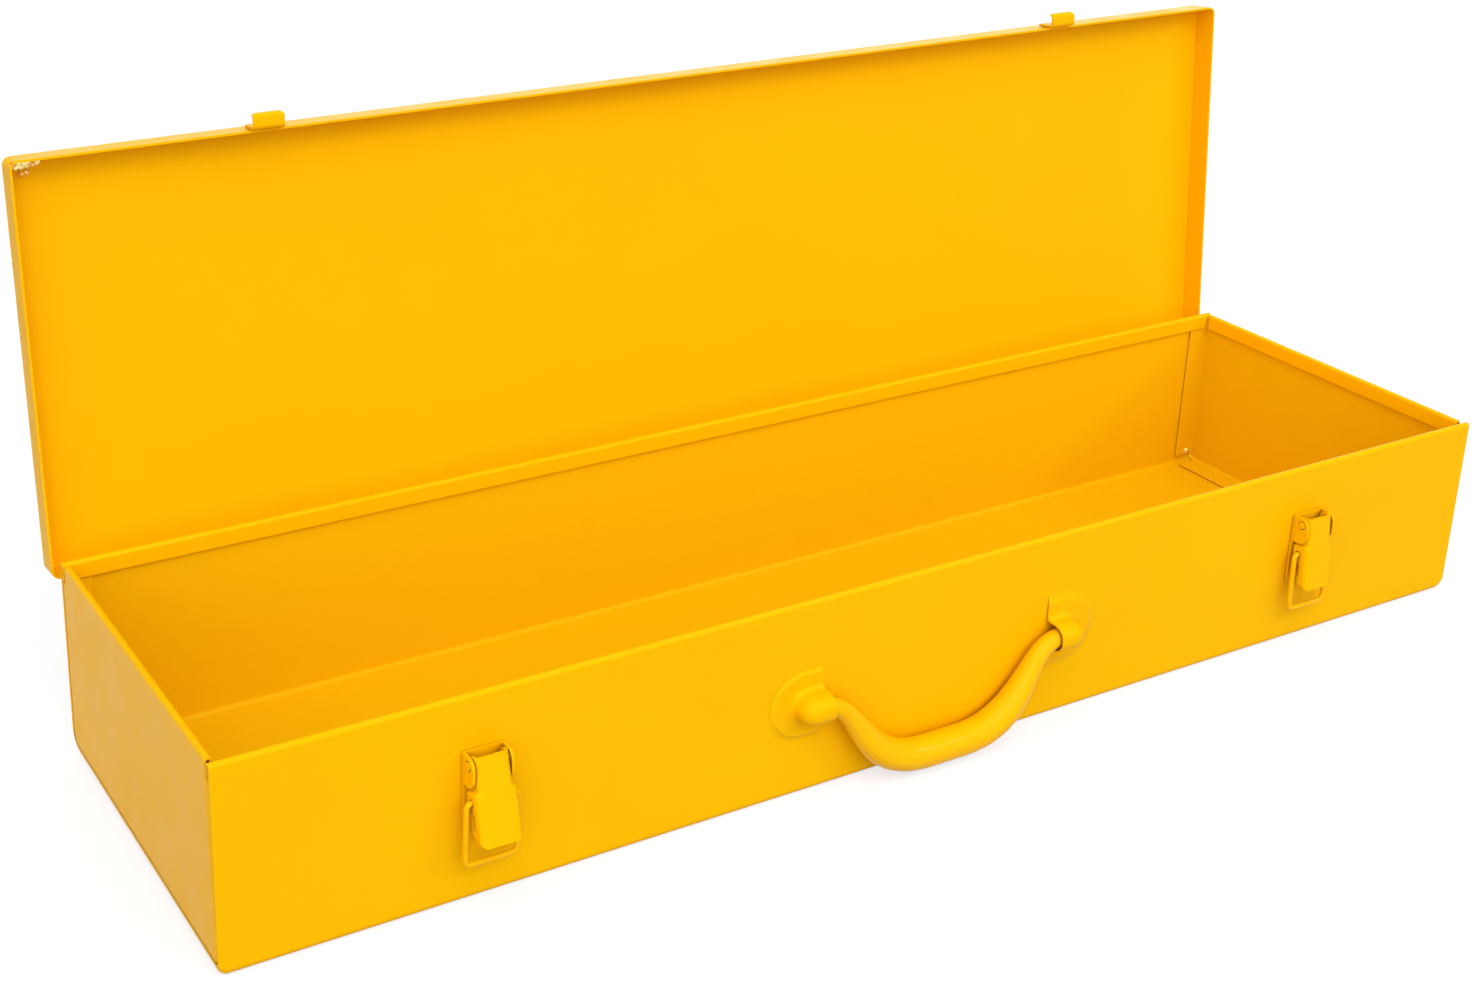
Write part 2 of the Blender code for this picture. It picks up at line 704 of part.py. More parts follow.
def latch_lever(name, parent):
    """Tapered channel in the pivot's own frame, hanging down along -Z."""
    bottom = LEVER_TOP - LEVER_LENGTH
    pad_low = bottom + PAD_MARGIN
    pad_high = pad_low + PAD_LENGTH

    def face_at(height):
        share = (LEVER_TOP - height) / LEVER_LENGTH
        return LEVER_FACE_TOP + share * (LEVER_FACE_BOTTOM - LEVER_FACE_TOP)

    bm = bmesh.new()
    rings = []
    widths = (
        (LEVER_TOP, lever_width()),
        (-LEVER_STEP, lever_width()),
        (-LEVER_STEP - LEVER_STEP_SLOPE, lever_tail_width()),
        (bottom, lever_tail_width()),
    )
    for height, width in widths:
        section = lever_section(width, face_at(height))
        rings.append([bm.verts.new((a, -b, height)) for a, b in section])
    count = len(rings[0])
    for upper, lower in zip(rings, rings[1:]):
        for i in range(count):
            j = (i + 1) % count
            bm.faces.new((upper[i], upper[j], lower[j], lower[i]))
    bm.faces.new(rings[0][::-1])
    bm.faces.new(rings[-1])

    pad = bmesh.new()
    layers = []
    for grow, rise in ((PAD_SLOPE, -LATCH_SHEET / 2), (PAD_SLOPE / 2, 0.0), (0.0, PAD_RISE)):
        ring = []
        for sx, height in ((1, pad_high + grow), (-1, pad_high + grow), (-1, pad_low - grow), (1, pad_low - grow)):
            ring.append(pad.verts.new((sx * (PAD_WIDTH / 2 + grow), -face_at(height) - rise, height)))
        layers.append(ring)
    for lower, upper in zip(layers, layers[1:]):
        for i in range(4):
            j = (i + 1) % 4
            pad.faces.new((lower[i], lower[j], upper[j], upper[i]))
    pad.faces.new(layers[0][::-1])
    pad.faces.new(layers[-1])
    bm = unite(bm, pad)

    quarter = math.pi / 2
    wide = 2 * lever_tail_width()
    corner = (lever_tail_width() / 2 - LEVER_CORNER, bottom + LEVER_CORNER)
    rounding = arc(corner, LEVER_CORNER + FIT / 2, 0.0, -quarter, 6)
    rounding += [(corner[0], bottom - wide), (wide, bottom - wide), (wide, corner[1])]
    corners = [prism([(side * a, b) for a, b in rounding], -wide, wide, "xz") for side in (1, -1)]
    round_top = []
    round_top.append((LEVER_BACK * 2, 2 * LEVER_TOP))
    round_top.append((LEVER_BACK * 2, 0.0))
    round_top += arc((0.0, 0.0), LEVER_BACK, 0.0, quarter, 6)
    round_top.append((0.0, 2 * LEVER_TOP))
    tail = [
        (LEVER_BACK * 2, bottom + LEVER_LIP_CUT * 2),
        (LEVER_BACK, bottom + LEVER_LIP_CUT * 2),
        (-LEVER_FACE_BOTTOM + LATCH_SHEET, bottom + LATCH_SHEET / 2),
        (-LEVER_FACE_BOTTOM + LATCH_SHEET, bottom - LEVER_LIP_CUT),
        (LEVER_BACK * 2, bottom - LEVER_LIP_CUT),
    ]
    pivot_hole = rod(PIVOT_PIN_RADIUS + FIT, -wide, wide)
    bail_hole = rod(WIRE_RADIUS + FIT, -wide, wide, (-BAIL_PIVOT_OUT, -BAIL_PIVOT_DROP), 12)
    slot_top = -BAIL_PIVOT_DROP - SLOT_DROP
    half_slot = SLOT_WIDTH / 2
    slot = arc((-BAIL_PIVOT_OUT, slot_top), half_slot, 0.0, math.pi, 5)
    slot += arc((-BAIL_PIVOT_OUT, slot_top - SLOT_LENGTH + SLOT_WIDTH), half_slot, math.pi, math.tau, 5)
    bm = cut(bm, merged(prism(round_top, -wide, wide), prism(tail, -wide, wide)),
             merged(*corners), merged(pivot_hole, bail_hole, prism(slot, -wide, wide)))
    return add_part(name, bm, painted(name), parent)


def latch_pin(name, x):
    pivot = front_point(x, LEVER_PIVOT_OUT, LEVER_PIVOT_Z)
    half = PLATE_WIDTH / 2 + PIVOT_PIN_PROUD
    bm = rod(PIVOT_PIN_RADIUS, x - half, x + half, (pivot.y, pivot.z))
    return add_part(name, bm, painted(name))


def latch_bail(name, parent):
    """Wire loop in its pivot's own frame, hanging down along -Z."""
    half = BAIL_WIDTH / 2
    inner = lever_tail_width() / 2 - BAIL_HOOK_IN
    quarter = math.pi / 2
    path = bend_path(
        (inner, 0.0), 0.0,
        (half - inner - BAIL_BEND,),
        (-quarter, BAIL_BEND),
        (bail_length() - 2 * BAIL_BEND,),
        (-quarter, BAIL_BEND),
        (BAIL_WIDTH - 2 * BAIL_BEND,),
        (-quarter, BAIL_BEND),
        (bail_length() - 2 * BAIL_BEND,),
        (-quarter, BAIL_BEND),
        (half - inner - BAIL_BEND,),
    )
    points = [(point[0], 0.0, point[1]) for point, heading in path]
    bm = tube(points, [WIRE_RADIUS] * len(points), 10, (0.0, 1.0, 0.0))
    return add_part(name, bm, painted(name), parent)


def handle_path():
    """Half of the handle's centre line, x outward and z down from the pivot line."""
    lean = math.atan2(HANDLE_DROP, HANDLE_KNEE - HANDLE_FLAT)
    turn = lean
    top_tangent = HANDLE_TOP_BEND * math.tan(turn / 2)
    bottom_tangent = HANDLE_BOTTOM_BEND * math.tan(turn / 2)
    leg = math.hypot(HANDLE_DROP, HANDLE_KNEE - HANDLE_FLAT)
    return bend_path(
        (HANDLE_SPAN / 2, 0.0), math.pi,
        (HANDLE_SPAN / 2 - HANDLE_KNEE - top_tangent,),
        (turn, HANDLE_TOP_BEND),
        (leg - top_tangent - bottom_tangent,),
        (-turn, HANDLE_BOTTOM_BEND),
        (HANDLE_FLAT - bottom_tangent,),
    )


def carry_handle(parent):
    """Thick grip that thins towards its turned-out ends, hanging in its pivot frame."""
    half = [point for point, heading in handle_path()]
    fine = []
    for a, b in zip(half, half[1:]):
        pieces = max(1, round((b - a).length / (GRIP_RADIUS * 0.7)))
        fine += [a.lerp(b, k / pieces) for k in range(pieces)]
    points = [(p[0], 0.0, p[1]) for p in fine]
    points.append((0.0, 0.0, half[-1][1]))
    points += [(-x, y, z) for x, y, z in points[-2::-1]]
    radii = []
    for x, y, z in points:
        share = min(1.0, max(0.0, -z / HANDLE_DROP))
        ease = share * share * (3 - 2 * share)
        radii.append(NECK_RADIUS + (GRIP_RADIUS - NECK_RADIUS) * ease)
    bm = tube(points, radii, 16, (0.0, 1.0, 0.0))
    return add_part("carry_handle", bm, painted("carry_handle"), parent)


def pocket_levels(half_width, height, low, centre):
    """Reach, forward distance and arc centre of a domed arch from its foot to its crown."""
    power = 2 / POCKET_SQUARENESS
    levels = [(half_width, low, centre), (half_width, POCKET_SIDE, centre)]
    steps = 8
    for k in range(1, steps):
        angle = math.pi / 2 * k / steps
        reach = half_width * math.cos(angle) ** power
        levels.append((reach, POCKET_SIDE + (height - POCKET_SIDE) * math.sin(angle) ** power, centre))
    levels.append((0.0, height, centre))
    return levels


def bracket_levels(centre):
    """The plate's rim, the fillet at the boss and the boss itself."""
    top = FIT + BRACKET_SHEET
    rim = BRACKET_SHEET / 2
    quarter = math.pi / 2
    levels = [(BRACKET_RADIUS, FIT, BRACKET_CENTRE)]
    for reach, out in arc((BRACKET_RADIUS - rim, top - rim), rim, 0.0, quarter, 3):
        levels.append((reach, out, BRACKET_CENTRE))
    half_width = POCKET_HALF_WIDTH + BRACKET_SHEET
    foot = (half_width + BRACKET_FILLET, top + BRACKET_FILLET)
    for reach, out in arc(foot, BRACKET_FILLET, -quarter, -2 * quarter, 5):
        levels.append((reach, out, centre))
    return levels + pocket_levels(half_width, POCKET_HEIGHT + BRACKET_SHEET, FIT, centre)[1:]


def arch(levels, mouth):
    """Stack of round-ended outlines on the front, flat at the mouth and closed by a crown."""
    bm = bmesh.new()
    steps = 14
    rings = []
    for reach, out, centre in levels[:-1]:
        outline = [(mouth, reach)]
        outline += arc((centre, 0.0), reach, math.pi / 2, -math.pi / 2, steps)
        outline.append((mouth, -reach))
        rings.append([bm.verts.new((x, -DEPTH / 2 - out, HANDLE_Z + z)) for x, z in outline])
    for lower, upper in zip(rings, rings[1:]):
        for i in range(len(lower) - 1):
            bm.faces.new((lower[i], lower[i + 1], upper[i + 1], upper[i]))
    crown = -DEPTH / 2 - levels[-1][1]
    near = bm.verts.new((mouth, crown, HANDLE_Z))
    far = bm.verts.new((levels[-1][2], crown, HANDLE_Z))
    top = rings[-1]
    bm.faces.new((top[0], top[1], far, near))
    for i in range(1, steps + 1):
        bm.faces.new((top[i], top[i + 1], far))
    bm.faces.new((top[-2], top[-1], near, far))
    bm.faces.new(rings[0])
    bm.faces.new([ring[0] for ring in rings] + [near] + [ring[-1] for ring in rings[::-1]])
    return bm


def handle_bracket(name, side):
    """Pressed plate, round outside and straight at the mouth, with a domed pocket."""
    centre = HANDLE_SPAN / 2 - POCKET_OVERLAP
    bm = arch(bracket_levels(centre), BRACKET_MOUTH)
    hollow = arch(pocket_levels(POCKET_HALF_WIDTH, POCKET_HEIGHT, -POCKET_SIDE, centre), BRACKET_MOUTH - POCKET_SIDE)
    bm = cut(bm, hollow)
    if side < 0:
        bmesh.ops.scale(bm, vec=(-1.0, 1.0, 1.0), verts=bm.verts)
        bmesh.ops.reverse_faces(bm, faces=bm.faces)
    return add_part(name, bm, painted(name))


def latch(label, x, lever_rest, bail_rest):
    latch_plate(label + "_latch_plate", x)
    latch_pin(label + "_latch_pin", x)
    pivot = front_point(x, LEVER_PIVOT_OUT, LEVER_PIVOT_Z)
    lever_frame = add_empty(label + "_lever_pivot", pivot, -lever_rest)
    latch_lever(label + "_latch_lever", lever_frame)
    hook = Vector((0.0, -BAIL_PIVOT_OUT, -BAIL_PIVOT_DROP))
    bail_frame = add_empty(label + "_bail_pivot", hook, lever_rest - bail_rest, lever_frame)
    latch_bail(label + "_latch_bail", bail_frame)


def main():
    clear_scene()
    base_wrap()
    end_panel("left_end_panel", -1)
    end_panel("right_end_panel", 1)
    lid_frame = add_empty("lid_hinge_axis", hinge_axis(), -LID_OPEN)
    lid_pan(lid_frame)
    hinge_lid_leaf(lid_frame)
    hinge_base_leaf()
    hinge_pin()
    for label, side in (("left", -1), ("right", 1)):
        lid_stop(label + "_lid_stop", side * STOP_OFFSET)
        lid_catch(label + "_catch", side * LATCH_OFFSET, lid_frame)
        handle_bracket(label + "_handle_bracket", side)
    latch("left", -LATCH_OFFSET, LEVER_REST_LEFT, BAIL_REST_LEFT)
    latch("right", LATCH_OFFSET, LEVER_REST_RIGHT, BAIL_REST_RIGHT)
    handle_frame = add_empty("handle_pivot", front_point(0.0, HANDLE_OUT, HANDLE_Z), -HANDLE_REST)
    carry_handle(handle_frame)


main()
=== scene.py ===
"""Looks of the yellow steel toolbox: softened sheet edges, gloss paint, light and camera.

Every CAD node is stood for by a dressed copy of itself: the same shape with its edges
rounded as thick paint rounds them, and with smooth shading. Weld beads are added in the
corners.
"""
import json
import math

import bmesh
import bpy
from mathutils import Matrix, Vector


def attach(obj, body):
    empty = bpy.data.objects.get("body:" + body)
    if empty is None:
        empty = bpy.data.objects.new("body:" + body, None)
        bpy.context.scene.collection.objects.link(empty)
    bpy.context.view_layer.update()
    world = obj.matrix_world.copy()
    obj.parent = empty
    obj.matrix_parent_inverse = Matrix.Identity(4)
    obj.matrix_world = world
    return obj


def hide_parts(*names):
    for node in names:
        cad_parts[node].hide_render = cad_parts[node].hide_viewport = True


MM = 0.001

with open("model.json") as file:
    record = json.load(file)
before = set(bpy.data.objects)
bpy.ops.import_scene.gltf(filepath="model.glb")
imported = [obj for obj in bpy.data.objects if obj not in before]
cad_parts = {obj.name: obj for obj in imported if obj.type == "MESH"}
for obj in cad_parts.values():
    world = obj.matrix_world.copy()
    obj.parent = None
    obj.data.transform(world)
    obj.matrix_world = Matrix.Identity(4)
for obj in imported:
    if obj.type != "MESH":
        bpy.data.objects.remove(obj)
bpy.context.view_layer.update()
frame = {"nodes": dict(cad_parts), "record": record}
scene = bpy.context.scene

# Faces of the box, as the CAD has them.
BOX_END = 310.0 * MM
WALL_FACE = 83.5 * MM
PANEL_SIDE = 82.2 * MM

# The space inside the box, up to the hems along its top.
INSIDE_END = 309.4 * MM
INSIDE_SIDE = 83.0 * MM
INSIDE_LOW = 0.5 * MM
INSIDE_HIGH = 78.4 * MM

# Plane directions for cutting meshes.
ALONG = (1.0, 0.0, 0.0)
ACROSS = (0.0, 1.0, 0.0)
UPWARD = (0.0, 0.0, 1.0)

# What counts as one point, as lying on a face, as flat, as an edge to round, and as an
# edge to show.
SAME_POINT = 0.001 * MM
ON_FACE = 0.1 * MM
FLAT_ANGLE = math.radians(0.6)
SHARP_ANGLE = math.radians(32)
SHADE_ANGLE = math.radians(50)

# Edges rounded by the paint.
SHEET_EDGE = 0.32 * MM
FITTING_EDGE = 0.4 * MM
EDGE_SEGMENTS = 2
WALL_CORNER = 0.75 * MM
WALL_CORNER_SEGMENTS = 4

# Bends and corners of the box. A corner's lift fades out over FADE times its radius.
LOWER_CORNER = 4.2 * MM
BACK_CORNER = 7.0 * MM
BACK_CORNER_REACH = 8.0 * MM
FRONT_GROOVE = 3.6 * MM
FADE = 3.0
CORNER_STEPS = 8
REACH_STEPS = 4
GROOVE_STEPS = 5

# Rims of the handle brackets: the plate lies RIM_FOOT to RIM_TOP out from the front wall,
# and its painted edge runs down to PAINT_GAP from it.
RIM_CENTRE = 67.0 * MM
RIM_HEIGHT = 41.3 * MM
RIM_FOOT = 0.3 * MM
RIM_TOP = 1.1 * MM
RIM_SLACK = 0.01 * MM
RIM_INNER = 12.5 * MM
RIM_CURVE = 1.5
LEFT_RIM_SLOPE = 1.6 * MM
RIGHT_RIM_SLOPE = 3.4 * MM
PAINT_GAP = 0.03 * MM

# Rods and wires.
ROD_LEVELS = 2
JOIN_ANGLE = 0.7
JOIN_SHAPE = 0.9

# Weld beads: steps along a lump and over it, width between lumps, taper of the ends,
# drift and unevenness of the lumps, and depth below the face.
WELD_STEPS = 8
WELD_SIDES = 8
WELD_NECK = 0.6
WELD_TAPER = 0.4
WELD_DRIFT = 0.5
WELD_UNEVEN = 0.16
WELD_SINK = 0.05 * MM

# Where the beads lie, in millimetres: the lid's open panel faces LID_PANEL_OUT, and the
# end panels' flanges end at FLANGE_FACE inside the long walls.
LID_PANEL_OUT = (0.0, -0.995, 0.096)
FLANGE_FACE = 81.2

# Colours of the paint, the painted shade in crevices and inside the box, the weld spatter, the
# pin and the studio.
PAINT = (0.9, 0.47, 0.0005, 1.0)
PAINT_DEEP = (0.89, 0.458, 0.0005, 1.0)
# Painted shade inside the box: a darker, duller tone of the same paint for the walls and floor
# inside.
INNER_PAINTED_SHADE = (0.82, 0.464, 0.002, 1.0)
# Painted shade: colours that the paint darkens towards in crevices, corners and narrow gaps.
CREVICE_SHADE = (0.5, 0.2, 0.001, 1.0)
FITTING_CREVICE_SHADE = (0.3, 0.115, 0.001, 1.0)
SPATTER = (0.95, 0.86, 0.36, 1.0)
STEEL_DARK = (0.42, 0.41, 0.39, 1.0)
STEEL_PALE = (0.56, 0.55, 0.53, 1.0)
WHITE = (1.0, 1.0, 1.0, 1.0)
BACKGROUND = (0.985, 0.98, 1.0, 1.0)
FLOOR_GREY = (0.42, 0.42, 0.42, 1.0)
FLOOR_SHADE = (0.34, 0.34, 0.34, 1.0)

# Finish of the paint, the weld spatter and the pin. A scale is a noise texture's.
MOTTLE_SCALE = 14.0
GLOSS_SCALE = 60.0
WAVE_SCALE = 16.0
WAVE_STRENGTH = 1.0
PEEL_SCALE = 620.0
PEEL_STRENGTH = 0.6
PEEL_HEIGHT = 0.03 * MM
PAINT_SPECULAR = 0.5
# Painted shade in crevices: ambient occlusion darkens the paint where nearby faces hem it in.
CREVICE_SAMPLES = 8
CREVICE_DEEPEST = 0.1
CREVICE_STRENGTH = 0.85
SPATTER_SCALE = 420.0
SPATTER_REFRACTION = 1.6
SPATTER_METAL = 0.85
STEEL_SCALE = 900.0

# The floor and the light of the room.
FLOOR_SIZE = 12.0
FLOOR_DROP = 0.2 * MM
FLOOR_GLOW = 0.7
AMBIENT = 0.05


def body_of(name):
    """The body that a CAD node belongs to."""
    for body, nodes in frame["record"]["behaviour"]["bodies"].items():
        if name in nodes:
            return body
    raise KeyError(name)


def add_piece(name, mesh, body, material):
    """Add an object of one material that rides on a body."""
    piece = bpy.data.objects.new(name, mesh)
    scene.collection.objects.link(piece)
    mesh.materials.append(material)
    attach(piece, body)
    return piece


def node_copy(name):
    """A CAD node's mesh as a bmesh, with its points joined."""
    bm = bmesh.new()
    bm.from_mesh(frame["nodes"][name].data)
    bmesh.ops.remove_doubles(bm, verts=bm.verts, dist=SAME_POINT)
    return bm


def smooth_mesh(name, bm):
    """Turn a bmesh into a mesh with smooth shading."""
    mesh = bpy.data.meshes.new(name)
    bm.to_mesh(mesh)
    bm.free()
    mesh.shade_smooth()
    return mesh


def limited(value):
    return min(max(value, 0.0), 1.0)


def eased(value):
    """A soft step from 0 to 1."""
    return value * value * (3.0 - 2.0 * value)


def is_wall_corner(edge):
    """True for the upright outer edges where the long walls meet the end panels."""
    return all(abs(v.co.x) > BOX_END - ON_FACE and abs(v.co.y) > WALL_FACE - ON_FACE
               for v in edge.verts)


def round_edges(bm, edges, width, segments):
    bmesh.ops.bevel(bm, geom=edges, offset=width, segments=segments, profile=0.5,
                    affect="EDGES", clamp_overlap=True)


def split(bm, place, normal):
    """Cut the faces along a plane and keep both sides."""
    parts = bm.verts[:] + bm.edges[:] + bm.faces[:]
    bmesh.ops.bisect_plane(bm, geom=parts, dist=SAME_POINT, plane_co=place, plane_no=normal)


def split_ends(bm, reach):
    """Cut across at a distance inward from each end of the box."""
    split(bm, (BOX_END - reach, 0.0, 0.0), ALONG)
    split(bm, (reach - BOX_END, 0.0, 0.0), ALONG)


def arc_reaches(radius):
    """Distances inward from a face that cut a quarter circle into even steps."""
    turns = [math.radians(90.0 * k / CORNER_STEPS) for k in range(1, CORNER_STEPS + 1)]
    return [radius * (1.0 - math.cos(turn)) for turn in turns]


def arc_lift(short, radius):
    """Height of a quarter circle at a distance past its start."""
    return radius - math.sqrt(radius ** 2 - short ** 2)


def rounded(first, second, radius):
    """Turn a square corner into a round one, given the distances from its two faces."""
    if first >= radius or second >= radius:
        return first, second
    one, other = radius - first, radius - second
    scale = max(one, other) / math.hypot(one, other)
    return radius - one * scale, radius - other * scale


def round_lower_ends(bm):
    """Sweep the lower edge of both ends of the box up in a quarter circle."""
    fade = FADE * LOWER_CORNER
    split(bm, (0.0, 0.0, fade), UPWARD)
    for reach in arc_reaches(LOWER_CORNER):
        split_ends(bm, reach)
    for v in bm.verts:
        short = min(abs(v.co.x) - BOX_END + LOWER_CORNER, LOWER_CORNER)
        if short > 0.0 and v.co.z < fade:
            v.co.z += arc_lift(short, LOWER_CORNER) * (1.0 - v.co.z / fade)


def round_back_corners(bm):
    """Knock the box's lower back corners round, near its ends only."""
    fade = FADE * BACK_CORNER
    split(bm, (0.0, 0.0, fade), UPWARD)
    for reach in arc_reaches(BACK_CORNER):
        split(bm, (0.0, WALL_FACE - reach, 0.0), ACROSS)
    for k in range(1, REACH_STEPS + 1):
        split_ends(bm, BACK_CORNER_REACH * k / REACH_STEPS)
    for v in bm.verts:
        near = limited(1.0 - (BOX_END - abs(v.co.x)) / BACK_CORNER_REACH)
        short = min(v.co.y - WALL_FACE + BACK_CORNER, BACK_CORNER)
        if short > 0.0 and v.co.z < fade:
            v.co.z += arc_lift(short, BACK_CORNER) * eased(near) * (1.0 - v.co.z / fade)


def round_front_bend(bm):
    """Round an end panel's upright front bend, so a shallow groove shows beside the wall."""
    for k in range(1, GROOVE_STEPS + 1):
        reach = FRONT_GROOVE * k / GROOVE_STEPS
        split_ends(bm, reach)
        split(bm, (0.0, reach - PANEL_SIDE, 0.0), ACROSS)
    for v in bm.verts:
        inward, across = rounded(BOX_END - abs(v.co.x), PANEL_SIDE + v.co.y, FRONT_GROOVE)
        v.co.x = math.copysign(BOX_END - inward, v.co.x)
        v.co.y = across - PANEL_SIDE


def feather_rim(bm, slope):
    """Draw a bracket plate's rim out into a soft slope down to the wall, as paint fills it."""
    for v in bm.verts:
        out = -WALL_FACE - v.co.y
        over = max(abs(v.co.x) - RIM_CENTRE, 0.0)
        up = v.co.z - RIM_HEIGHT
        reach = math.hypot(over, up)
        if out > RIM_TOP + RIM_SLACK or reach < RIM_INNER:
            continue
        rise = limited((out - RIM_FOOT) / (RIM_TOP - RIM_FOOT))
        grown = reach + slope * (1.0 - rise) ** RIM_CURVE
        v.co.y = -WALL_FACE - PAINT_GAP - (RIM_TOP - PAINT_GAP) * eased(rise)
        v.co.z = RIM_HEIGHT + up * grown / reach
        if over > 0.0:
            v.co.x = math.copysign(RIM_CENTRE + over * grown / reach, v.co.x)


def dress(name, material, edge):
    """Stand a softened copy in for a CAD node."""
    is_wrap = name == "base_wrap"
    is_panel = name.endswith("end_panel")
    bm = node_copy(name)
    bmesh.ops.dissolve_limit(bm, angle_limit=FLAT_ANGLE, verts=bm.verts, edges=bm.edges)
    if is_wrap:
        corners = [e for e in bm.edges if is_wall_corner(e)]
        round_edges(bm, corners, WALL_CORNER, WALL_CORNER_SEGMENTS)
    if name.endswith("handle_bracket"):
        feather_rim(bm, LEFT_RIM_SLOPE if name.startswith("left") else RIGHT_RIM_SLOPE)
    sharp = [e for e in bm.edges if e.is_manifold and e.calc_face_angle() > SHARP_ANGLE]
    round_edges(bm, sharp, edge, EDGE_SEGMENTS)
    if is_panel:
        round_front_bend(bm)
    if is_wrap or is_panel:
        round_lower_ends(bm)
        round_back_corners(bm)
    mesh = smooth_mesh(name + "_dressed", bm)
    mesh.set_sharp_from_angle(angle=SHADE_ANGLE)
    piece = add_piece(name + "_dressed", mesh, body_of(name), material)
    normals = piece.modifiers.new("flat_faces", "WEIGHTED_NORMAL")
    normals.keep_sharp = True
    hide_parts(name)


def dress_round(name, material):
    """Stand a subdivided copy in for a rod or wire node."""
    bm = node_copy(name)
    bmesh.ops.join_triangles(bm, faces=bm.faces, angle_face_threshold=JOIN_ANGLE,
                             angle_shape_threshold=JOIN_SHAPE)
    mesh = smooth_mesh(name + "_dressed", bm)
    piece = add_piece(name + "_dressed", mesh, body_of(name), material)
    rounder = piece.modifiers.new("rounder", "SUBSURF")
    rounder.levels = ROD_LEVELS
    rounder.render_levels = ROD_LEVELS
    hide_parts(name)


def weld_row(bm, middle, aside, out, t, swell, width, height):
    """Points over the bead from side to side, at t of the way along it."""
    row = []
    for j in range(WELD_SIDES + 1):
        angle = math.pi * j / WELD_SIDES
        uneven = 1.0 + WELD_UNEVEN * math.sin(3.0 * angle + 11.0 * t)
        spot = middle + aside * (width * swell * math.cos(angle))
        rise = height * swell * uneven * math.sin(angle) - WELD_SINK
        row.append(bm.verts.new(spot + out * rise))
    return row


def weld_run(name, body, material, start, end, out, width, height, lumps):
    """A lumpy weld bead on a face: overlapping drops from start to end, in millimetres."""
    start, end, out = Vector(start) * MM, Vector(end) * MM, Vector(out)
    aside = out.cross((end - start).normalized())
    steps = WELD_STEPS * lumps
    bm = bmesh.new()
    rows = []
    for i in range(steps + 1):
        t = i / steps
        beat = abs(math.sin(math.pi * lumps * t + WELD_DRIFT * math.sin(9.0 * t)))
        taper = math.sin(math.pi * (0.02 + 0.96 * t)) ** WELD_TAPER
        swell = (WELD_NECK + (1.0 - WELD_NECK) * beat) * taper * MM
        rows.append(weld_row(bm, start.lerp(end, t), aside, out, t, swell, width, height))
    for low, high in zip(rows, rows[1:]):
        for j in range(WELD_SIDES):
            bm.faces.new((low[j], low[j + 1], high[j + 1], high[j]))
        bm.faces.new((low[-1], low[0], high[0], high[-1]))
    bm.faces.new(rows[0])
    bm.faces.new(rows[-1])
    bmesh.ops.recalc_face_normals(bm, faces=bm.faces)
    mesh = smooth_mesh(name, bm)
    mesh.set_sharp_from_angle(angle=SHADE_ANGLE)
    add_piece(name, mesh, body, material)


def new_node(tree, kind, **inputs):
    item = tree.nodes.new(kind)
    for name, value in inputs.items():
        item.inputs[name].default_value = value
    return item


def fill(tree, socket, value):
    """Link a socket to another one, or set it to a plain number or colour."""
    if isinstance(value, bpy.types.NodeSocket):
        tree.links.new(value, socket)
    else:
        socket.default_value = value


def noise(tree, place, scale, detail):
    item = new_node(tree, "ShaderNodeTexNoise", Scale=scale, Detail=detail)
    tree.links.new(place, item.inputs["Vector"])
    return item.outputs["Fac"]


def spread(tree, value, source, target):
    """Stretch a value from one range of numbers to another."""
    item = tree.nodes.new("ShaderNodeMapRange")
    tree.links.new(value, item.inputs["Value"])
    item.inputs["From Min"].default_value, item.inputs["From Max"].default_value = source
    item.inputs["To Min"].default_value, item.inputs["To Max"].default_value = target
    return item.outputs["Result"]


def blend_colour(tree, factor, first, second):
    item = tree.nodes.new("ShaderNodeMix")
    item.data_type = "RGBA"
    tree.links.new(factor, item.inputs["Factor"])
    fill(tree, item.inputs["A"], first)
    fill(tree, item.inputs["B"], second)
    return item.outputs["Result"]


def bump(tree, height, distance, strength, before=None):
    item = new_node(tree, "ShaderNodeBump", Strength=strength, Distance=distance)
    tree.links.new(height, item.inputs["Height"])
    if before is not None:
        tree.links.new(before, item.inputs["Normal"])
    return item.outputs["Normal"]


def calculate(tree, operation, first, second):
    item = tree.nodes.new("ShaderNodeMath")
    item.operation = operation
    fill(tree, item.inputs[0], first)
    fill(tree, item.inputs[1], second)
    return item.outputs[0]


def inside_box(tree, place):
    """1 on the walls and floor inside the box below its hems, where the paint takes its painted
    shade, and 0 elsewhere.
    """
    parts = tree.nodes.new("ShaderNodeSeparateXYZ")
    tree.links.new(place, parts.inputs[0])
    above = calculate(tree, "GREATER_THAN", parts.outputs["Z"], INSIDE_LOW)
    below = calculate(tree, "LESS_THAN", parts.outputs["Z"], INSIDE_HIGH)
    inside = calculate(tree, "MULTIPLY", above, below)
    for axis, limit in (("X", INSIDE_END), ("Y", INSIDE_SIDE)):
        distance = calculate(tree, "ABSOLUTE", parts.outputs[axis], 0.0)
        within = calculate(tree, "LESS_THAN", distance, limit)
        inside = calculate(tree, "MULTIPLY", inside, within)
    return inside


def start_material(name):
    """A new material, its node tree, its shader and the object's own coordinates."""
    material = bpy.data.materials.new(name)
    material.use_nodes = True
    tree = material.node_tree
    place = tree.nodes.new("ShaderNodeTexCoord").outputs["Object"]
    return material, tree, tree.nodes["Principled BSDF"], place


